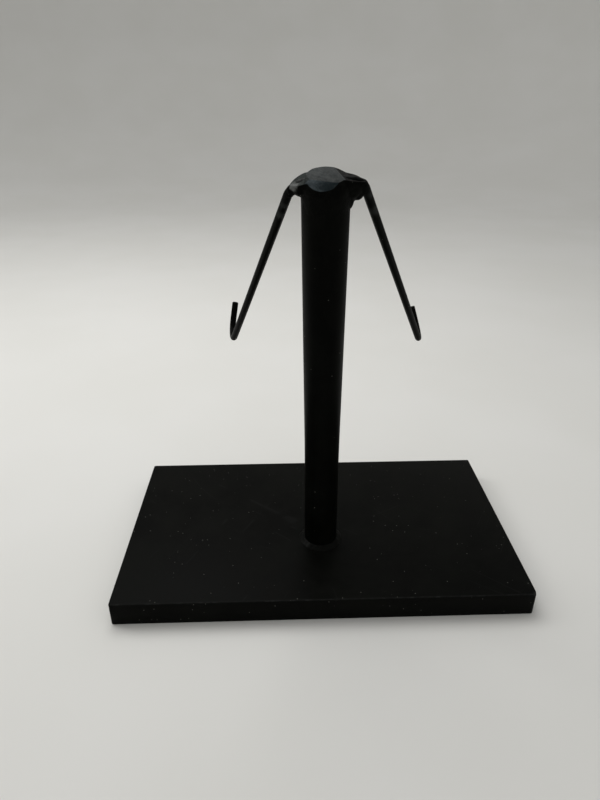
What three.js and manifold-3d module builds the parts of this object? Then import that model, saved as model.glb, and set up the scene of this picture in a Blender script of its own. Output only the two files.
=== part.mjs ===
// A table stand for a trumpet: a flat steel plate, a round bar welded upright on it and bent
// over the plate's front edge, and two wire arms that come back from the bar's end and hang
// as hooks over the plate. The trumpet's tubing lies across both hooks. Nothing moves: every
// joint is a weld.
//
// Millimetres, +Z up. The origin is the middle of the plate's underside and -Y is the front.
// The head of the stand, all that is welded to the bar's end, is laid out square to the bar
// in a group that leans with it.

import * as THREE from "three";
import { mergeVertices } from "three/addons/utils/BufferGeometryUtils.js";
import Module from "manifold-3d";

// Driving dimensions.
const PLATE = { length: 152.4, depth: 88.9, thickness: 9.525, cornerRadius: 0.8, edgeRadius: 0.4 };
const POST = { x: 0.5, y: -11, radius: 6.35, straight: 39.8, leaning: 103, bendRadius: 64 };
const LEAN_DEGREES = { forwards: 18.1, left: 1.3 };
const WIRE_RADIUS = 1.22;
const HOOK_BEND_RADIUS = 6.6;
const GAP = 0.3; // between pieces that the real weld metal joins

const FOOT_WELD = { width: 1.9, height: 1.7, toe: 0.2 };
const HEAD = { bulge: 0.2, height: 5.3 };

// The arms' routes, as the corners of the wire's centre line before they are rounded, in
// the head's own frame: x and y from the bar's axis and z from the bar's end.
const LEFT_ROUTE = {
  end: [-3.2, -0.3, 2.6],
  shoulder: [-8.54, -1.11, 2.5],
  shoulderRadius: 5.5,
  hookCorner: [-35.25, 44.65, -88.6],
  tipDirection: [0.185, 0.453, 0.9],
  tipLength: 19.6,
};
const RIGHT_ROUTE = {
  end: [3.2, -0.5, 2.75],
  shoulder: [9.11, -1.43, 2.8],
  shoulderRadius: 3.5,
  hookCorner: [43.47, 42.16, -90.43],
  tipDirection: [-0.283, 0.453, 0.911],
  tipLength: 18.9,
};

// The flats ground on the weld mound: a point on each and its outward normal.
const GROUND_FLATS = [
  { point: [0, 0, 4], normal: [0, 0, 1] }, // top
  { point: [3.9, -1, 4], normal: [0.134, 0.045, 1] }, // right
  { point: [-4.6, 0, 4], normal: [-0.355, -0.1, 1] }, // left
  { point: [-1.6, -2.55, 4], normal: [0, -0.385, 1] }, // front
];

// Weld metal round each arm's root, as stretched balls before the rest is cut out of them.
const LEFT_FILLET = { centre: [-6.5, -0.3, 1.5], size: [3.1, 2.8, 2.7] };
const RIGHT_FILLET = { centre: [6.4, -0.3, 1.1], size: [3.5, 2.8, 3.2] };

const BLACK_PAINT = { color: 0x141415, roughness: 0.45, metalness: 0.1 };
const RUBBED_WELD = { color: 0x3c4246, roughness: 0.5, metalness: 0.5 };

const wasm = await Module();
wasm.setup();

function solid(geometry) {
  const bare = geometry.clone();
  bare.deleteAttribute("normal");
  bare.deleteAttribute("uv");
  const merged = mergeVertices(bare, 1e-4);
  return new wasm.Manifold(
    new wasm.Mesh({
      numProp: 3,
      vertProperties: merged.attributes.position.array,
      triVerts: new Uint32Array(merged.index.array),
    }),
  );
}

function geometryOf(manifold) {
  const { vertProperties, triVerts } = manifold.getMesh();
  return new THREE.BufferGeometry()
    .setAttribute("position", new THREE.BufferAttribute(vertProperties, 3))
    .setIndex(new THREE.BufferAttribute(triVerts, 1));
}

function piece(name, geometry, finish) {
  const mesh = new THREE.Mesh(geometry, new THREE.MeshStandardMaterial(finish));
  mesh.name = name;
  return mesh;
}

function plateGeometry() {
  const { length, depth, thickness, cornerRadius, edgeRadius } = PLATE;
  const outline = new THREE.Shape();
  const cornerX = length / 2 - cornerRadius;
  const cornerY = depth / 2 - cornerRadius;
  outline.absarc(cornerX, cornerY, cornerRadius, 0, Math.PI / 2);
  outline.absarc(-cornerX, cornerY, cornerRadius, Math.PI / 2, Math.PI);
  outline.absarc(-cornerX, -cornerY, cornerRadius, Math.PI, 1.5 * Math.PI);
  outline.absarc(cornerX, -cornerY, cornerRadius, 1.5 * Math.PI, 2 * Math.PI);
  return new THREE.ExtrudeGeometry(outline, {
    depth: thickness - 2 * edgeRadius,
    bevelThickness: edgeRadius,
    bevelSize: edgeRadius,
    bevelOffset: -edgeRadius,
    bevelSegments: 2,
    curveSegments: 4,
  }).translate(0, 0, edgeRadius);
}

function lathe(profile, segments) {
  const points = profile.map(([radius, height]) => new THREE.Vector2(radius, height));
  return new THREE.LatheGeometry(points, segments).rotateX(Math.PI / 2);
}

// A hollow fillet that runs round the post's foot and lies flat on the plate.
function footWeldGeometry() {
  const inner = POST.radius + GAP;
  const outer = inner + FOOT_WELD.width;
  const steps = 6;
  const profile = [[inner, 0], [outer, 0], [outer, FOOT_WELD.toe]];
  for (let i = 1; i <= steps; i++) {
    const turn = (i / steps) * (Math.PI / 2);
    profile.push([
      outer - (FOOT_WELD.width - FOOT_WELD.toe) * Math.sin(turn),
      FOOT_WELD.toe + (FOOT_WELD.height - FOOT_WELD.toe) * (1 - Math.cos(turn)),
    ]);
  }
  profile.push([inner, FOOT_WELD.height], [inner, 0]);
  return lathe(profile, 40);
}

// A quarter-turn or so of wire: the point turns about an axis through the bend's centre.
class Bend extends THREE.Curve {
  constructor(centre, start, axis, angle) {
    super();
    Object.assign(this, { centre, start, axis, angle });
  }

  getPoint(t, target = new THREE.Vector3()) {
    return target
      .copy(this.start)
      .sub(this.centre)
      .applyAxisAngle(this.axis, this.angle * t)
      .add(this.centre);
  }
}

// The bend that rounds off the corner where a wire coming along one direction leaves on another.
function bendAt(corner, directionIn, directionOut, radius) {
  const angle = directionIn.angleTo(directionOut);
  const setback = radius * Math.tan(angle / 2);
  const start = corner.clone().addScaledVector(directionIn, -setback);
  const axis = directionIn.clone().cross(directionOut).normalize();
  const centre = axis.clone().cross(directionIn).multiplyScalar(radius).add(start);
  return new Bend(centre, start, axis, angle);
}

// A path of straight runs between the corners, each inner corner rounded to its radius.
function roundedPath(corners, radii) {
  const path = new THREE.CurvePath();
  let from = corners[0];
  for (let i = 1; i < corners.length - 1; i++) {
    const directionIn = corners[i].clone().sub(corners[i - 1]).normalize();
    const directionOut = corners[i + 1].clone().sub(corners[i]).normalize();
    const bend = bendAt(corners[i], directionIn, directionOut, radii[i - 1]);
    path.add(new THREE.LineCurve3(from, bend.getPoint(0)));
    path.add(bend);
    from = bend.getPoint(1);
  }
  path.add(new THREE.LineCurve3(from, corners[corners.length - 1]));
  return path;
}

function rod(path, radius, steps, sides) {
  const section = new THREE.Shape().absarc(0, 0, radius, 0, 2 * Math.PI);
  return new THREE.ExtrudeGeometry(section, {
    extrudePath: path,
    steps,
    curveSegments: sides / 2,
  });
}

const lean = new THREE.Euler(
  THREE.MathUtils.degToRad(LEAN_DEGREES.forwards),
  -THREE.MathUtils.degToRad(LEAN_DEGREES.left),
  0,
);
const foot = new THREE.Vector3(POST.x, POST.y, PLATE.thickness);
const bendCorner = foot.clone().setZ(PLATE.thickness + POST.straight);
const barEnd = new THREE.Vector3(0, 0, POST.leaning).applyEuler(lean).add(bendCorner);

function postGeometry() {
  return rod(roundedPath([foot, bendCorner, barEnd], [POST.bendRadius]), POST.radius, 40, 40);
}

function wireGeometry(route, radius) {
  const hookCorner = new THREE.Vector3(...route.hookCorner);
  const tip = new THREE.Vector3(...route.tipDirection)
    .normalize()
    .multiplyScalar(route.tipLength)
    .add(hookCorner);
  const corners = [
    new THREE.Vector3(...route.end),
    new THREE.Vector3(...route.shoulder),
    hookCorner,
    tip,
  ];
  return rod(roundedPath(corners, [route.shoulderRadius, HOOK_BEND_RADIUS]), radius, 96, 10);
}

// The wire with the gap all round it and past its buried end, to cut its seat in weld metal.
function wireSeat(route) {
  const end = new THREE.Vector3(...route.end);
  const outwards = new THREE.Vector3(...route.shoulder).sub(end).normalize();
  const longer = { ...route, end: end.addScaledVector(outwards, -GAP).toArray() };
  return solid(wireGeometry(longer, WIRE_RADIUS + GAP));
}

const leftSeat = wireSeat(LEFT_ROUTE);
const rightSeat = wireSeat(RIGHT_ROUTE);

// Everything on the outer side of a ground flat.
function groundAway({ point, normal }) {
  const side = 40;
  const outwards = new THREE.Vector3(...normal).normalize();
  const turn = new THREE.Quaternion().setFromUnitVectors(new THREE.Vector3(0, 0, 1), outwards);
  const block = new THREE.BoxGeometry(side, side, side).translate(0, 0, side / 2);
  return solid(block.applyQuaternion(turn).translate(...point));
}

// The shape of the weld mound over the bar's end, grown all round by a margin.
function dome(margin, bottom) {
  const widest = POST.radius + HEAD.bulge + margin;
  const rise = 0.16 * HEAD.height;
  const steps = 8;
  const profile = [[0, bottom], [widest, bottom]];
  for (let i = 0; i < steps; i++) {
    const turn = (i / steps) * (Math.PI / 2);
    profile.push([
      widest * Math.cos(turn),
      GAP + rise + (HEAD.height - rise + margin) * Math.sin(turn),
    ]);
  }
  profile.push([0, GAP + HEAD.height + margin]);
  return solid(lathe(profile, 40));
}

function groundDown(weld) {
  return GROUND_FLATS.reduce((rest, flat) => rest.subtract(groundAway(flat)), weld);
}

function headGeometry() {
  const mound = groundDown(dome(0, GAP));
  return geometryOf(mound.subtract(leftSeat).subtract(rightSeat));
}

// The weld at an arm's root, wrapped round the wire, the bar and the mound's shoulder.
function rootWeldGeometry({ centre, size }, seat) {
  const ball = new THREE.SphereGeometry(1, 32, 20).scale(...size).translate(...centre);
  const wrapped = solid(ball).subtract(dome(GAP, -10)).subtract(seat);
  return geometryOf(groundDown(wrapped));
}

const stand = new THREE.Group();
stand.add(piece("base_plate", plateGeometry(), BLACK_PAINT));

stand.add(piece("post", postGeometry(), BLACK_PAINT));

const footWeld = piece("foot_weld", footWeldGeometry(), BLACK_PAINT);
footWeld.position.copy(foot);
stand.add(footWeld);

const head = new THREE.Group();
head.position.copy(barEnd);
head.rotation.copy(lean);
head.add(piece("left_arm", wireGeometry(LEFT_ROUTE, WIRE_RADIUS), BLACK_PAINT));
head.add(piece("right_arm", wireGeometry(RIGHT_ROUTE, WIRE_RADIUS), BLACK_PAINT));
head.add(piece("top_weld", headGeometry(), RUBBED_WELD));
head.add(piece("left_root_weld", rootWeldGeometry(LEFT_FILLET, leftSeat), BLACK_PAINT));
head.add(piece("right_root_weld", rootWeldGeometry(RIGHT_FILLET, rightSeat), BLACK_PAINT));
stand.add(head);

export default stand;
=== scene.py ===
# A table stand for a trumpet: a flat black plate, a round bar welded on it that leans over
# the plate's front edge, and two wire arms that come back from the bar's head as hooks.
import math

import bpy
from mathutils import Euler, Matrix, Vector


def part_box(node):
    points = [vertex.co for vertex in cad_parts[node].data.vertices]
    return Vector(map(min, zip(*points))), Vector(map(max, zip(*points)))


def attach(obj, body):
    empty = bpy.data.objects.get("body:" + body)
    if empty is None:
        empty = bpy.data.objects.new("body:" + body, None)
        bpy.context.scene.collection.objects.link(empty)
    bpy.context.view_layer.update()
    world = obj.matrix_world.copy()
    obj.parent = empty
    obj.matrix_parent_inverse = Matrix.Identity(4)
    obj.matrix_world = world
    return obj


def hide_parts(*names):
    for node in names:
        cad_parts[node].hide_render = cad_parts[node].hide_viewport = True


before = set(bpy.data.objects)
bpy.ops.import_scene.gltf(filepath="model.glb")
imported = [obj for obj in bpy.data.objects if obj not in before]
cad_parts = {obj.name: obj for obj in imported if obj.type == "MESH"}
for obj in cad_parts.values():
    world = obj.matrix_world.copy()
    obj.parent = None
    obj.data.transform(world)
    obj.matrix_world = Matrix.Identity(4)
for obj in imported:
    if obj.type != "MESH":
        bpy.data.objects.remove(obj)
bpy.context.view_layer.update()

# The camera stands in front of the plate, a little above the head, and looks down at it.
# Its turn about the upright, its look down from level and its tilt are in degrees.
CAMERA_PLACE = (-0.013236, -0.201564, 0.168781)
CAMERA_TURN = -1.705
CAMERA_LOOK_DOWN = 26.941
CAMERA_TILT = -0.166
CAMERA_LENS = 27.045

camera_data = bpy.data.cameras.new("camera")
camera_data.sensor_width = 36
camera_data.lens = CAMERA_LENS
camera_data.clip_start = 0.01
camera = bpy.data.objects.new("camera", camera_data)
camera_turn = (
    Matrix.Rotation(math.radians(CAMERA_TURN), 4, "Z")
    @ Matrix.Rotation(math.radians(90 - CAMERA_LOOK_DOWN), 4, "X")
    @ Matrix.Rotation(math.radians(CAMERA_TILT), 4, "Z")
)
camera.matrix_world = Matrix.Translation(CAMERA_PLACE) @ camera_turn
bpy.context.scene.collection.objects.link(camera)
bpy.context.scene.camera = camera
bpy.context.scene.view_settings.view_transform = "Standard"


# The base plate: a rectangle of 3/8 inch flat steel bar, sawn to length, its edges just
# broken and one front corner knocked round, brushed with satin black paint. The bar is
# welded to its top face.
MM = 0.001
CORNER_ROUND = 0.7 * MM
WORN_CORNER_ROUND = 1.3 * MM
FACE_EDGE_ROUND = 0.35 * MM
KNOCKED_IN = 0.75 * MM
KNOCKED_DOWN = 0.5 * MM


class Value:
    """An output of a material's node, wrapped so that sums on it add the Math nodes."""

    def __init__(self, tree, socket):
        self.tree = tree
        self.socket = socket

    def node(self, kind, settings={}, inputs={}, output=0):
        """Adds a node: its settings first, then its sockets' values or links."""
        added = self.tree.nodes.new("ShaderNode" + kind)
        for name, setting in settings.items():
            setattr(added, name, setting)
        for name, value in inputs.items():
            if isinstance(value, Value):
                self.tree.links.new(value.socket, added.inputs[name])
            else:
                added.inputs[name].default_value = value
        return Value(self.tree, added.outputs[output])

    def math(self, operation, *others):
        return self.node("Math", {"operation": operation}, dict(enumerate((self, *others))))

    def __add__(self, other):
        return self.math("ADD", other)

    def __sub__(self, other):
        return self.math("SUBTRACT", other)

    def __mul__(self, other):
        return self.math("MULTIPLY", other)

    def __rsub__(self, other):
        return self.node("Math", {"operation": "SUBTRACT"}, {0: other, 1: self})

    def __abs__(self):
        return self.math("ABSOLUTE")

    __radd__ = __add__
    __rmul__ = __mul__

    def step(self, low, high):
        """0 below low and 1 above high, with a soft step between; low may be the larger."""
        ranges = {"From Min": low, "From Max": high}
        return self.node("MapRange", {"interpolation_type": "SMOOTHSTEP"}, {"Value": self} | ranges)

    def noise(self, scale, detail=3.0, roughness=0.55):
        sockets = {"Vector": self, "Scale": scale, "Detail": detail, "Roughness": roughness}
        return self.node("TexNoise", {}, sockets)

    def shifted(self, *offset):
        return self.node("Mapping", {}, {"Vector": self, "Location": offset})

    def stretched(self, *scale):
        return self.node("Mapping", {}, {"Vector": self, "Scale": scale})

    def distance_to(self, point):
        settings = {"operation": "DISTANCE"}
        return self.node("VectorMath", settings, {0: self, 1: point}, "Value")

    def along(self, direction):
        settings = {"operation": "DOT_PRODUCT"}
        return self.node("VectorMath", settings, {0: self, 1: direction}, "Value")

    def colour_between(self, low, high):
        sockets = {0: self, 6: (*low, 1), 7: (*high, 1)}
        return self.node("Mix", {"data_type": "RGBA"}, sockets, 2)

    def colour_over(self, under, over):
        """The colour under, with the colour over laid on it where this value is 1."""
        over = over if isinstance(over, Value) else (*over, 1)
        return self.node("Mix", {"data_type": "RGBA"}, {0: self, 6: under, 7: over}, 2)


def new_finish(name):
    """A new material, its shader and the place of each point on the piece."""
    material = bpy.data.materials.new(name)
    material.use_nodes = True
    tree = material.node_tree
    shader = tree.nodes["Principled BSDF"]
    place = Value(tree, tree.nodes.new("ShaderNodeTexCoord").outputs["Object"])
    return material, shader, place


def connect_finish(shader, colour, roughness, height, height_scale):
    """Feeds the shader its colour, roughness and relief; height_scale is in metres."""
    sockets = {"Height": height, "Distance": height_scale, "Strength": 1.0}
    relief = height.node("Bump", {}, sockets)
    for name, value in {"Base Color": colour, "Roughness": roughness, "Normal": relief}.items():
        value.tree.links.new(value.socket, shader.inputs[name])


PAINT_BLACK = (0.0016, 0.0018, 0.0014)
PAINT_GREY = (0.0032, 0.0035, 0.0028)
PAINT_DUST = (0.15, 0.15, 0.135)
BARE_STEEL = (0.145, 0.15, 0.147)
PAINT_RELIEF = 0.012 * MM
SMOOTH_BELOW = math.radians(40)


def specks(place, cell, size, share):
    """Round grains of dust: one in some of the cells, size across at the most."""
    cells = {"Vector": place, "Scale": 1 / cell}
    near = place.node("TexVoronoi", {}, cells, "Distance")
    pick = place.node("TexVoronoi", {}, cells, "Color")
    chosen = pick.node("SeparateColor", {}, {"Color": pick}).step(1 - share, 1 - share * 0.7)
    return near.step(size / cell, 0.4 * size / cell) * chosen


def black_paint(name, wear, shine, dusty=1.0):
    """Satin black paint; wear adds the places, 0 to 1, coloured as bare steel: scuffs that show the
    steel, and painted highlights.
    """
    material, shader, place = new_finish(name)
    shader.inputs["Specular IOR Level"].default_value = shine
    worn_and_highlit = wear(place)
    cloudy = place.noise(60, 4).step(0.35, 0.7)
    grain = place.noise(2600, 2)
    dust = specks(place, 2.2 * MM, 0.2 * MM, 0.55 * dusty)
    colour = cloudy.colour_between(PAINT_BLACK, PAINT_GREY)
    colour = worn_and_highlit.colour_over(colour, BARE_STEEL)
    colour = dust.colour_over(colour, PAINT_DUST)
    roughness = 0.34 + 0.1 * cloudy + 0.08 * grain + 0.25 * dust + 0.1 * worn_and_highlit
    peel = place.noise(900, 2)
    height = 0.75 * peel + 0.25 * grain - 0.4 * worn_and_highlit + 0.8 * dust
    connect_finish(shader, colour, roughness, height, PAINT_RELIEF)
    return material


def start_piece():
    """Leaves nothing selected, so that an operator acts on the new piece alone."""
    bpy.ops.object.select_all(action="DESELECT")


def edit_piece():
    bpy.ops.object.mode_set(mode="EDIT")
    bpy.ops.mesh.select_mode(type="VERT")
    bpy.ops.mesh.select_all(action="SELECT")


def pick_edges(wanted):
    """Selects the edges of the piece in edit mode whose two ends satisfy wanted."""
    bpy.ops.mesh.select_mode(type="EDGE")
    bpy.ops.mesh.select_all(action="DESELECT")
    bpy.ops.object.mode_set(mode="OBJECT")
    mesh = bpy.context.object.data
    for edge in mesh.edges:
        edge.select = wanted(*[mesh.vertices[i].co for i in edge.vertices])
    bpy.ops.object.mode_set(mode="EDIT")


def add_modifier(piece, kind, **settings):
    """Adds a modifier to the piece and applies it at once."""
    modifier = piece.modifiers.new(kind.lower(), kind)
    for name, setting in settings.items():
        setattr(modifier, name, setting)
    bpy.ops.object.modifier_apply(modifier=modifier.name)


def finish_piece(piece, name, material, slot, *nodes):
    """Names and paints a piece, and lets it stand for its CAD nodes."""
    if bpy.context.object.mode == "EDIT":
        bpy.ops.object.mode_set(mode="OBJECT")
    bpy.ops.object.transform_apply(location=True, rotation=True, scale=True)
    bpy.ops.object.shade_smooth_by_angle(angle=SMOOTH_BELOW)
    piece.name = name
    piece.data.name = name
    piece.data.materials.clear()
    piece.data.materials.append(material)
    for polygon in piece.data.polygons:
        polygon.material_index = 0
    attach(piece, "root")
    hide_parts(*nodes)


plate_low, plate_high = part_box("base_plate")
plate_size = plate_high - plate_low
plate_middle = (plate_low + plate_high) / 2
front_right = Vector((plate_high.x, plate_low.y))

start_piece()
bpy.ops.mesh.primitive_cube_add(size=1, location=plate_middle, scale=plate_size)
plate = bpy.context.object
bpy.ops.object.transform_apply(location=True, rotation=True, scale=True)
edit_piece()
pick_edges(lambda a, b: abs(a.z - b.z) > MM and (a.xy - front_right).length > MM)
bpy.ops.mesh.bevel(offset=CORNER_ROUND, segments=3, affect="EDGES")
pick_edges(lambda a, b: abs(a.z - b.z) > MM and (a.xy - front_right).length < 0.1 * MM)
bpy.ops.mesh.bevel(offset=WORN_CORNER_ROUND, segments=4, affect="EDGES")
pick_edges(lambda a, b: abs(a.z - b.z) < 0.01 * MM)
bpy.ops.mesh.bevel(offset=FACE_EDGE_ROUND, segments=3, affect="EDGES")
bpy.ops.mesh.select_all(action="SELECT")
bpy.ops.mesh.bisect(
    plane_co=(plate_high.x - KNOCKED_IN, plate_low.y + KNOCKED_IN, plate_high.z - KNOCKED_DOWN),
    plane_no=(1, -1, 1.1),
    clear_outer=True,
    use_fill=True,
)

# Each arc mark's middle x and y and its radius, in metres; and each set of scratches' direction
# in radians and spacing in metres. The higher the last value is, the more of it is left out.
ARC_MARKS = [(0.0, 0.06, 0.062, 0.56), (-0.03, -0.05, 0.035, 0.58), (0.05, 0.02, 0.028, 0.58)]
SCRATCHES = [(0.5, 0.012, 0.58), (-0.9, 0.017, 0.6)]


def plate_wear_and_edge_highlight(place):
    """Paint rubbed thin along the plate's edges with a painted highlight there, fine scratches, and
    arcs left on its top.
    """
    x = place.node("SeparateXYZ", {}, {"Vector": place}, "X")
    y = place.node("SeparateXYZ", {}, {"Vector": place}, "Y")
    z = place.node("SeparateXYZ", {}, {"Vector": place}, "Z")
    to_side = plate_size.x / 2 - abs(x - plate_middle.x)
    to_front = plate_size.y / 2 - abs(y - plate_middle.y)
    to_top = plate_high.z - z
    nearest_two = to_side.math("MINIMUM", to_front).math("MAXIMUM", to_top)
    edge = nearest_two.step(0.5 * MM, 0.1 * MM)
    # The even 0.05 along every edge is a painted highlight; the noisy part over it is paint rubbed
    # thin.
    rubbed = edge * (0.05 + 0.09 * place.noise(500, 4).step(0.45, 0.75))
    corner = place.distance_to((plate_high.x - 0.4 * MM, plate_low.y + 0.4 * MM, plate_high.z))
    rubbed = rubbed.math("MAXIMUM", corner.step(1.6 * MM, 0.6 * MM) * 0.05)
    on_top = to_top.step(0.3 * MM, 0.1 * MM)
    for middle_x, middle_y, radius, left_out in ARC_MARKS:
        ring = abs(place.distance_to((middle_x, middle_y, plate_high.z)) - radius)
        broken = place.noise(70, 2).step(left_out, left_out + 0.06)
        rubbed = rubbed.math("MAXIMUM", ring.step(0.14 * MM, 0.04 * MM) * on_top * broken * 0.03)
    for angle, spacing, left_out in SCRATCHES:
        across = place.node("Mapping", {}, {"Vector": place, "Rotation": (0, 0, angle)})
        lane = across.stretched(1 / spacing, 1.5, 0).noise(1.0, 1, 0.4)
        line = abs(lane - 0.5).step(0.006, 0.001)
        shifted = place.shifted(spacing, angle, 0)
        broken = shifted.noise(45, 2).step(left_out, left_out + 0.05)
        rubbed = rubbed.math("MAXIMUM", line * on_top * broken * 0.02)
    return rubbed


finish_piece(
    plate, "painted_base_plate", black_paint("plate_paint", plate_wear_and_edge_highlight, 0.03), "black_paint",
    "base_plate",
)


# The post: half-inch round steel bar. It stands on the plate behind the middle, goes straight
# up, and is bent forwards, and a touch to the left, so that its end hangs over the front edge.
POST_RADIUS = 6.35 * MM
POST_STRAIGHT = 39.8 * MM
POST_LEANING = 103 * MM
POST_BEND = 64 * MM
LEAN_FORWARDS = 18.1  # degrees
LEAN_LEFT = 1.3


def bent_rod(corners, radii, thickness, sides):
    """Bends a straight rod round its inner corners and returns it in edit mode, its last
    ring of points selected. The corners are where the straight runs would meet."""
    runs = [(b - a).normalized() for a, b in zip(corners, corners[1:])]
    start_piece()
    bpy.ops.mesh.primitive_circle_add(
        vertices=sides,
        radius=thickness,
        fill_type="NGON",
        location=corners[0],
        rotation=runs[0].to_track_quat("Z", "Y").to_euler(),
    )
    rod = bpy.context.object
    bpy.ops.object.transform_apply(location=True, rotation=True, scale=True)
    edit_piece()
    bpy.ops.mesh.delete(type="ONLY_FACE")
    bpy.ops.mesh.select_mode(type="EDGE")
    bpy.ops.mesh.select_all(action="SELECT")
    reached = corners[0]
    for corner, run, next_run, radius in zip(corners[1:], runs, runs[1:], radii):
        angle = run.angle(next_run)
        bend_start = corner - run * radius * math.tan(angle / 2)
        push = {"value": bend_start - reached}
        bpy.ops.mesh.extrude_region_move(TRANSFORM_OT_translate=push)
        axis = run.cross(next_run).normalized()
        centre = bend_start + axis.cross(run) * radius
        steps = max(8, round(math.degrees(angle) / 5))
        bpy.ops.mesh.spin(steps=steps, angle=-angle, center=centre, axis=axis)
        reached = corner + next_run * radius * math.tan(angle / 2)
    push = {"value": corners[-1] - reached}
    bpy.ops.mesh.extrude_region_move(TRANSFORM_OT_translate=push)
    return rod, runs[-1]


def round_end(end, direction, rings):
    """Rounds off the end of a rod: each ring is how far on it lies and how much it shrinks."""
    for distance, shrink in rings:
        end = end + direction * distance
        push = {"value": direction * distance}
        bpy.ops.mesh.extrude_region_move(TRANSFORM_OT_translate=push)
        bpy.ops.transform.resize(value=(shrink,) * 3, center_override=end)
    bpy.ops.mesh.edge_face_add()


def close_rod():
    """Fills the open end of the rod in edit mode and turns every face outwards."""
    bpy.ops.mesh.select_all(action="SELECT")
    bpy.ops.mesh.remove_doubles(threshold=0.001 * MM)
    bpy.ops.mesh.select_all(action="DESELECT")
    bpy.ops.mesh.select_mode(type="EDGE")
    bpy.ops.mesh.select_non_manifold(extend=False)
    bpy.ops.mesh.edge_face_add()
    bpy.ops.mesh.select_all(action="SELECT")
    bpy.ops.mesh.normals_make_consistent(inside=False)


foot_low, foot_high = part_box("foot_weld")
foot = (foot_low + foot_high) / 2
foot.z = plate_high.z
lean = Euler((math.radians(LEAN_FORWARDS), math.radians(-LEAN_LEFT), 0))
lean_turn = Matrix.Rotation(lean.x, 4, "X") @ Matrix.Rotation(lean.y, 4, "Y")
bend_corner = foot + Vector((0, 0, POST_STRAIGHT))
bar_end = bend_corner + lean_turn @ Vector((0, 0, POST_LEANING))

post, _ = bent_rod([foot, bend_corner, bar_end], [POST_BEND], POST_RADIUS, 64)
bpy.ops.mesh.edge_face_add()
close_rod()


def post_wear(place):
    """A few short rubs in the paint of the bar."""
    long = place.stretched(1, 1, 0.25)
    return long.noise(420, 3).step(0.7, 0.78) * 0.02


finish_piece(
    post, "painted_post", black_paint("post_paint", post_wear, 0.015, 0.4), "black_paint", "post"
)


# The foot weld: one bead of weld metal run round the bar where it stands on the plate,
# rather lumpy, and painted over.
# Its section from the plate up to the bar: radius and height in millimetres.
BEAD_PROFILE = [(8.5, 0.02), (8.4, 0.25), (7.9, 0.62), (7.3, 1.0), (6.8, 1.42), (6.36, 1.68)]

start_piece()
bead_outer = BEAD_PROFILE[0][0] * MM
bpy.ops.mesh.primitive_circle_add(vertices=96, radius=bead_outer, location=foot)
bead = bpy.context.object
bpy.ops.object.transform_apply(location=True, rotation=True, scale=True)
edit_piece()
bpy.ops.mesh.select_mode(type="EDGE")
for (radius, height), (next_radius, next_height) in zip(BEAD_PROFILE, BEAD_PROFILE[1:]):
    push = {"value": (0, 0, (next_height - height) * MM)}
    bpy.ops.mesh.extrude_region_move(TRANSFORM_OT_translate=push)
    shrink = next_radius / radius
    bpy.ops.transform.resize(value=(shrink, shrink, 1), center_override=foot)
push = {"value": (0, 0, -BEAD_PROFILE[-1][1] * MM)}
bpy.ops.mesh.extrude_region_move(TRANSFORM_OT_translate=push)
bpy.ops.mesh.select_all(action="DESELECT")
bpy.ops.mesh.select_non_manifold(extend=False)
bpy.ops.mesh.bridge_edge_loops()
bpy.ops.mesh.select_all(action="SELECT")
bpy.ops.mesh.normals_make_consistent(inside=False)
bpy.ops.mesh.subdivide(number_cuts=1)
bpy.ops.object.mode_set(mode="OBJECT")
lumps = bpy.data.textures.new("bead_lumps", "CLOUDS")
lumps.noise_scale = 3.2 * MM
add_modifier(bead, "DISPLACE", texture=lumps, strength=0.7 * MM, mid_level=0.62)
add_modifier(bead, "SMOOTH", factor=0.5, iterations=2)
edit_piece()
bpy.ops.mesh.bisect(
    plane_co=foot + Vector((0, 0, 0.01 * MM)), plane_no=(0, 0, -1), clear_outer=True, use_fill=True
)


def bead_wear(place):
    """The high spots of the bead are rubbed."""
    return place.noise(700, 3).step(0.6, 0.8) * 0.04


finish_piece(
    bead, "painted_foot_weld", black_paint("bead_paint", bead_wear, 0.04, 0.4), "black_paint",
    "foot_weld",
)


# The two arms: steel wire of about 2.4 mm, each out over a shoulder from the bar's head, down
# and back over the plate to an upturned hook; the left tip is rounded, the right cut square.
# Their routes are in the head's own frame, in millimetres from the bar's end.
WIRE_RADIUS = 1.2 * MM
HOOK_BEND = 6.6 * MM
head_place = Matrix.Translation(bar_end) @ lean_turn


def in_head(x, y, z):
    """A point laid out from the bar's end, in the stand's frame."""
    return head_place @ (Vector((x, y, z)) * MM)


def bent_arm(end, shoulder, shoulder_radius, hook, tip_direction, tip_length):
    """One arm, in edit mode with the points at its tip selected, and where the tip is."""
    tip = Vector(hook) + Vector(tip_direction).normalized() * tip_length
    corners = [in_head(*end), in_head(*shoulder), in_head(*hook), in_head(*tip)]
    arm, direction = bent_rod(corners, [shoulder_radius * MM, HOOK_BEND], WIRE_RADIUS, 20)
    return arm, corners[-1], direction


def arm_wear(*rubs):
    """Short places on a wire, each a point, a reach and a strength, rubbed to the steel; the
    strongest also stands in for a painted glint.
    """

    def wear(place):
        ragged = place.noise(900, 3) * 1.2 * MM
        worn_and_highlit = place.stretched(1, 1, 0.3).noise(500, 3).step(0.68, 0.8) * 0.05
        for x, y, z, reach, strength in rubs:
            away = place.distance_to(in_head(x, y, z)) + ragged
            rub = away.step(reach * MM, 0.45 * reach * MM) * strength
            worn_and_highlit = worn_and_highlit.math("MAXIMUM", rub)
        return worn_and_highlit

    return wear


left_arm, tip, direction = bent_arm(
    (-3.2, -0.3, 2.6), (-8.54, -1.11, 2.5), 5.5,
    (-35.25, 44.65, -88.6), (0.185, 0.453, 0.9), 19.2,
)
round_end(tip, direction, [(0.16 * MM, 0.93), (0.14 * MM, 0.8), (0.07 * MM, 0.6)])
close_rod()
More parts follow.
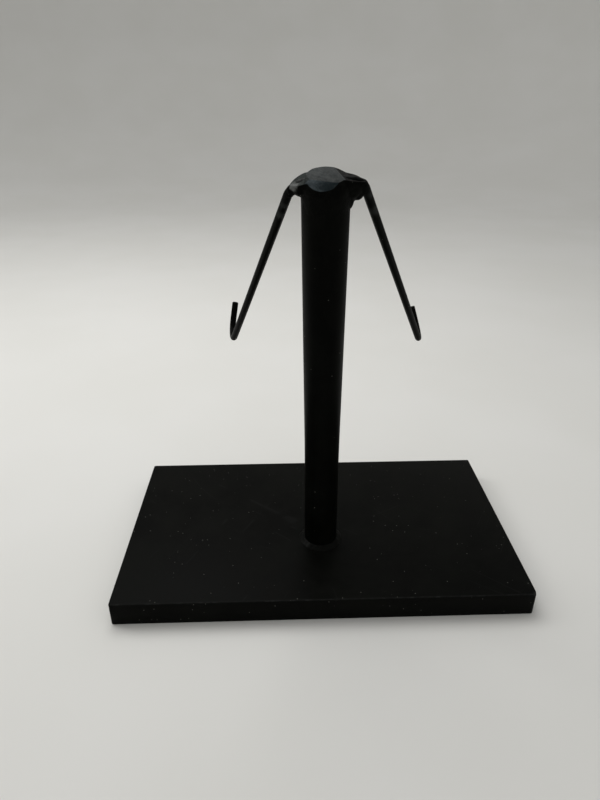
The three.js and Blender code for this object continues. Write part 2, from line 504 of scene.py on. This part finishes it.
# The strongest rub, at the left shoulder, is bare steel with a painted glint on it.
left_rubs_and_glint = arm_wear(
    (-5.2, -0.6, 3.7, 2.0, 0.26), (-6.8, -0.6, 3.1, 1.8, 0.26), (-8.5, -1.5, 2.6, 2.4, 0.9),
    (-11.6, 3.3, -8.0, 2.6, 0.12), (-10.6, 1.4, -4.4, 2.2, 0.1),
)
finish_piece(
    left_arm, "painted_left_arm", black_paint("left_arm_paint", left_rubs_and_glint, 0.02, 0.3),
    "black_paint", "left_arm",
)

right_arm, tip, direction = bent_arm(
    (3.2, -0.5, 2.75), (9.11, -1.43, 2.8), 3.5,
    (43.47, 42.16, -90.43), (-0.283, 0.453, 0.911), 18.8,
)
round_end(tip, direction, [(0.08 * MM, 0.94)])
close_rod()
right_rubs = arm_wear(
    (4.6, -0.7, 3.9, 1.8, 0.05), (6.4, -0.9, 4.0, 1.8, 0.05), (8.0, -1.1, 3.7, 1.6, 0.05),
    (11.6, -0.2, -1.1, 2.4, 0.1), (13.6, 2.3, -6.8, 3.2, 0.12),
)
finish_piece(
    right_arm, "painted_right_arm", black_paint("right_arm_paint", right_rubs, 0.02, 0.3),
    "black_paint", "right_arm",
)


# The head weld: weld metal built up over the bar's end and round both wires' roots, then
# ground to four flats that are rubbed nearly bare and carry painted light and shade, each
# lighter or darker by the way it faces. It is made in one, ground, and parted at the roots,
# because the two roots are painted and the top isn't.
FLATS = {
    "top": ((0, 0, 4), (0, 0, 1)),
    "right": ((3.8, -1, 4), (0.2, 0.06, 1)),
    "left": ((-4.6, 0, 4), (-0.43, -0.1, 1)),
    "front": ((-1.7, -2.7, 4), (-0.14, -0.43, 1)),
}
MOUND = [
    # centre x, y, z and half sizes x, y, z, in millimetres
    (0, 0, 1.15, 6.5, 6.5, 4.45),
    (-6.2, -0.4, 1.5, 2.6, 2.6, 2.6),
    (-5.5, 0.0, 2.0, 2.4, 2.5, 2.2),
    (-4.6, -0.4, 2.4, 3.6, 3.0, 2.5),
    (-6.6, -0.5, 0.6, 1.5, 1.7, 1.7),
    (6.4, -0.5, 1.1, 2.9, 2.6, 3.3),
    (5.7, 0.0, 2.0, 2.8, 2.5, 2.3),
    (4.8, -0.5, 2.4, 4.2, 3.0, 2.5),
    (8.0, -0.4, -0.2, 1.8, 1.5, 2.4),
    (6.1, -0.3, -1.6, 1.2, 1.9, 3.4),
]
# The weld metal that thins out along each wire as it bends over its shoulder.
SLEEVES = [
    # centre x, y, z and radius, in millimetres
    (-5.4, -0.65, 2.4, 1.9), (-6.6, -0.65, 2.05, 1.75), (-7.7, -0.45, 1.35, 1.55),
    (-8.6, -0.1, 0.45, 1.4), (-9.2, 0.35, -0.5, 1.28),
    (6.0, -0.95, 2.75, 2.0), (7.2, -1.1, 2.65, 1.85), (8.3, -1.0, 2.3, 1.65),
    (9.1, -0.75, 1.6, 1.5), (9.6, -0.5, 0.8, 1.38), (9.9, -0.1, -0.1, 1.28),
]
# Where the mound comes down over the bar, a thin skin wider than it.
SKIRT = {
    "bottom": -4.5 * MM, "top": 1.2 * MM, "bottom_radius": 6.36 * MM, "top_radius": 6.52 * MM
}

VOXEL = 0.24 * MM

start_piece()
balls = []
for x, y, z, *half_sizes in MOUND + [(x, y, z, r, r, r) for x, y, z, r in SLEEVES]:
    bpy.ops.mesh.primitive_uv_sphere_add(
        segments=48,
        ring_count=32,
        radius=MM,
        location=in_head(x, y, z),
        rotation=head_place.to_euler(),
        scale=half_sizes,
    )
    balls.append(bpy.context.object)
bpy.ops.mesh.primitive_cone_add(
    vertices=64,
    radius1=SKIRT["bottom_radius"],
    radius2=SKIRT["top_radius"],
    depth=SKIRT["top"] - SKIRT["bottom"],
    location=in_head(0, 0, (SKIRT["top"] + SKIRT["bottom"]) / 2 / MM),
    rotation=head_place.to_euler(),
)
balls.append(bpy.context.object)
for ball in balls:
    ball.select_set(True)
bpy.context.view_layer.objects.active = balls[0]
bpy.ops.object.join()
mound = bpy.context.object
bpy.ops.object.transform_apply(location=True, rotation=True, scale=True)
add_modifier(mound, "REMESH", mode="VOXEL", voxel_size=VOXEL)
add_modifier(mound, "SMOOTH", factor=0.6, iterations=5)
swells = bpy.data.textures.new("weld_swells", "CLOUDS")
swells.noise_scale = 2.4 * MM
add_modifier(mound, "DISPLACE", texture=swells, strength=0.22 * MM, mid_level=0.6)
add_modifier(mound, "SMOOTH", factor=0.5, iterations=3)
head_turn = head_place.to_3x3()
BLOCK_SIDE = 40 * MM


def cut_away(piece, point, normal):
    """Takes off all of the piece that lies beyond a plane laid out in the head's frame."""
    outwards = (head_turn @ Vector(normal)).normalized()
    start_piece()
    bpy.ops.mesh.primitive_cube_add(
        size=BLOCK_SIDE,
        location=in_head(*point) + outwards * BLOCK_SIDE / 2,
        rotation=outwards.to_track_quat("Z", "Y").to_euler(),
    )
    block = bpy.context.object
    bpy.context.view_layer.objects.active = piece
    add_modifier(piece, "BOOLEAN", object=block, operation="DIFFERENCE", solver="EXACT")
    bpy.data.objects.remove(block)


for point, normal in FLATS.values():
    cut_away(mound, point, normal)


def facet_mask(place, name, blur):
    """1 on the ground flat of that name and 0 away from its plane."""
    point, normal = FLATS[name]
    outwards = (head_turn @ Vector(normal)).normalized()
    height = place.along(outwards) - in_head(*point).dot(outwards)
    return height.step(-blur * MM, -0.2 * blur * MM)


# The left shoulder's light grey there is bare steel with a painted glint on it.
BARE_AND_GLINT_SPOT = (-8.2, -1.5, 2.5)  # where the left wire's shoulder is knocked bare
WELD_RELIEF = 0.03 * MM
# The darkest and the lightest tone of each ground flat. They hold painted light and shade
# as well as the rubbed metal: the top and front flats lightest, the left one less, the right one
# nearly black.
FLAT_LIT_TONES = {
    "left": ((0.008, 0.011, 0.009), (0.036, 0.042, 0.041)),
    "front": ((0.010, 0.015, 0.017), (0.062, 0.075, 0.083)),
    "right": ((0.003, 0.0028, 0.0025), (0.013, 0.012, 0.0115)),
    "top": ((0.026, 0.030, 0.031), (0.066, 0.070, 0.069)),
}


def rubbed_weld(name):
    """Ground weld metal: each flat has its own tone of painted light and shade, mottled, and black
    paint round them.
    """
    material, shader, place = new_finish(name)
    shader.inputs["Specular IOR Level"].default_value = 0.02
    blotches = place.noise(420, 4, 0.6).step(0.3, 0.72)
    fine = place.noise(2200, 3).step(0.3, 0.7)
    smears = place.stretched(1, 0.4, 1).noise(1100, 3).step(0.45, 0.75)
    mottle = 0.6 * blotches + 0.4 * fine
    colour = blotches.colour_between(PAINT_BLACK, PAINT_GREY)
    # painted shade: the front flat is painted lighter on its left and darker towards its right
    across = head_turn @ Vector((1, 0, 0))
    painted_falloff = (place.along(across) - bar_end.dot(across)).step(0.2 * MM, -3.4 * MM)
    rubbed = None
    for flat, (dark, light) in FLAT_LIT_TONES.items():
        mask = facet_mask(place, flat, 0.09)
        shade = mottle * (0.15 + 0.85 * painted_falloff) if flat == "front" else mottle
        colour = mask.colour_over(colour, shade.colour_between(dark, light))
        rubbed = mask if rubbed is None else rubbed.math("MAXIMUM", mask)
    colour = (rubbed * smears * 0.08).colour_over(colour, BARE_STEEL)
    ragged = place.noise(900, 3) * 1.4 * MM
    # Light grey round the left shoulder: bare steel, with a painted glint on it.
    bare = (place.distance_to(in_head(*BARE_AND_GLINT_SPOT)) + ragged).step(2.5 * MM, 1.7 * MM)
    colour = (bare * (0.6 + 0.4 * fine)).colour_over(colour, BARE_STEEL)
    dust = specks(place, 1.6 * MM, 0.16 * MM, 0.3)
    colour = dust.colour_over(colour, PAINT_DUST)
    roughness = 0.42 + 0.14 * mottle - 0.06 * rubbed * smears
    height = 0.6 * fine + 0.4 * blotches - 0.5 * smears
    connect_finish(shader, colour, roughness, height, WELD_RELIEF)
    return material


# How far across the head each root is parted off, and a distance that is past them both.
ROOTS = {"left": -6.9, "right": 6.7}
PAST_ROOTS = 30
weld_finish = rubbed_weld("rubbed_weld_metal_and_painted_light")


def parted(keep_from, keep_to):
    """A copy of the mound cut down to what lies between two distances across the head."""
    start_piece()
    part = mound.copy()
    part.data = mound.data.copy()
    bpy.context.scene.collection.objects.link(part)
    part.select_set(True)
    bpy.context.view_layer.objects.active = part
    cut_away(part, (keep_from, 0, 0), (-1, 0, 0))
    cut_away(part, (keep_to, 0, 0), (1, 0, 0))
    start_piece()
    part.select_set(True)
    return part


left_root = parted(-PAST_ROOTS, ROOTS["left"])
finish_piece(left_root, "left_root_weld_metal", weld_finish, "black_paint", "left_root_weld")
right_root = parted(ROOTS["right"], PAST_ROOTS)
finish_piece(right_root, "right_root_weld_metal", weld_finish, "black_paint", "right_root_weld")
top = parted(ROOTS["left"], ROOTS["right"])
finish_piece(top, "ground_top_weld", weld_finish, "rubbed_weld", "top_weld")
bpy.data.objects.remove(mound)


# The room: a pale table top that sweeps up all round, a soft light on the left and a
# second overhead, and an even pale fill.
# The bowl's section is given as radius and height in metres.
BOWL_PROFILE = [(0.9, 0.0), (1.1, 0.03), (1.3, 0.12), (1.45, 0.3), (1.5, 0.5), (1.5, 0.75)]
PAPER_DARK = (0.72, 0.715, 0.69)
PAPER_LIGHT = (0.74, 0.735, 0.715)
PAPER_RELIEF = 0.01 * MM
FILL_STRENGTH = 0.52

start_piece()
bpy.ops.mesh.primitive_circle_add(vertices=96, radius=BOWL_PROFILE[0][0], fill_type="NGON")
bowl = bpy.context.object
edit_piece()
pick_edges(lambda a, b: True)
for (radius, height), (next_radius, next_height) in zip(BOWL_PROFILE, BOWL_PROFILE[1:]):
    push = {"value": (0, 0, next_height - height)}
    bpy.ops.mesh.extrude_edges_move(TRANSFORM_OT_translate=push)
    shrink = next_radius / radius
    bpy.ops.transform.resize(value=(shrink, shrink, 1), center_override=(0, 0, 0))
bpy.ops.mesh.select_all(action="SELECT")
bpy.ops.mesh.normals_make_consistent(inside=True)
bpy.ops.object.mode_set(mode="OBJECT")
bpy.ops.object.shade_smooth()
table_paper, shader, place = new_finish("table_paper")
shader.inputs["Specular IOR Level"].default_value = 0.1
fibres = place.noise(300, 3)
paper = place.noise(9, 2).step(0.3, 0.7).colour_between(PAPER_DARK, PAPER_LIGHT)
connect_finish(shader, paper, 0.85 + 0.05 * fibres, fibres, PAPER_RELIEF)
bowl.data.materials.append(table_paper)
bowl.name = "table_and_backdrop"


def soft_light(name, place, target, size, power, colour):
    """A round lamp at place, turned to target; its size is in metres and power in watts."""
    light_data = bpy.data.lights.new(name, "AREA")
    light_data.shape = "DISK"
    light_data.size = size
    light_data.energy = power
    light_data.color = colour
    light = bpy.data.objects.new(name, light_data)
    turn = (Vector(target) - Vector(place)).to_track_quat("-Z", "Y")
    light.matrix_world = Matrix.Translation(place) @ turn.to_matrix().to_4x4()
    bpy.context.scene.collection.objects.link(light)


soft_light("left_light", (-0.7, 0.28, 0.6), (0, 0.02, 0), 0.4, 1.6, (1, 0.995, 0.98))
soft_light("overhead_light", (-0.12, 0.18, 0.5), (-0.08, 0.12, 0), 0.4, 1.15, (1, 1, 0.985))
world = bpy.data.worlds.new("fill")
world.use_nodes = True
world.node_tree.nodes["Background"].inputs["Color"].default_value = (1, 1, 0.985, 1)
world.node_tree.nodes["Background"].inputs["Strength"].default_value = FILL_STRENGTH
bpy.context.scene.world = world
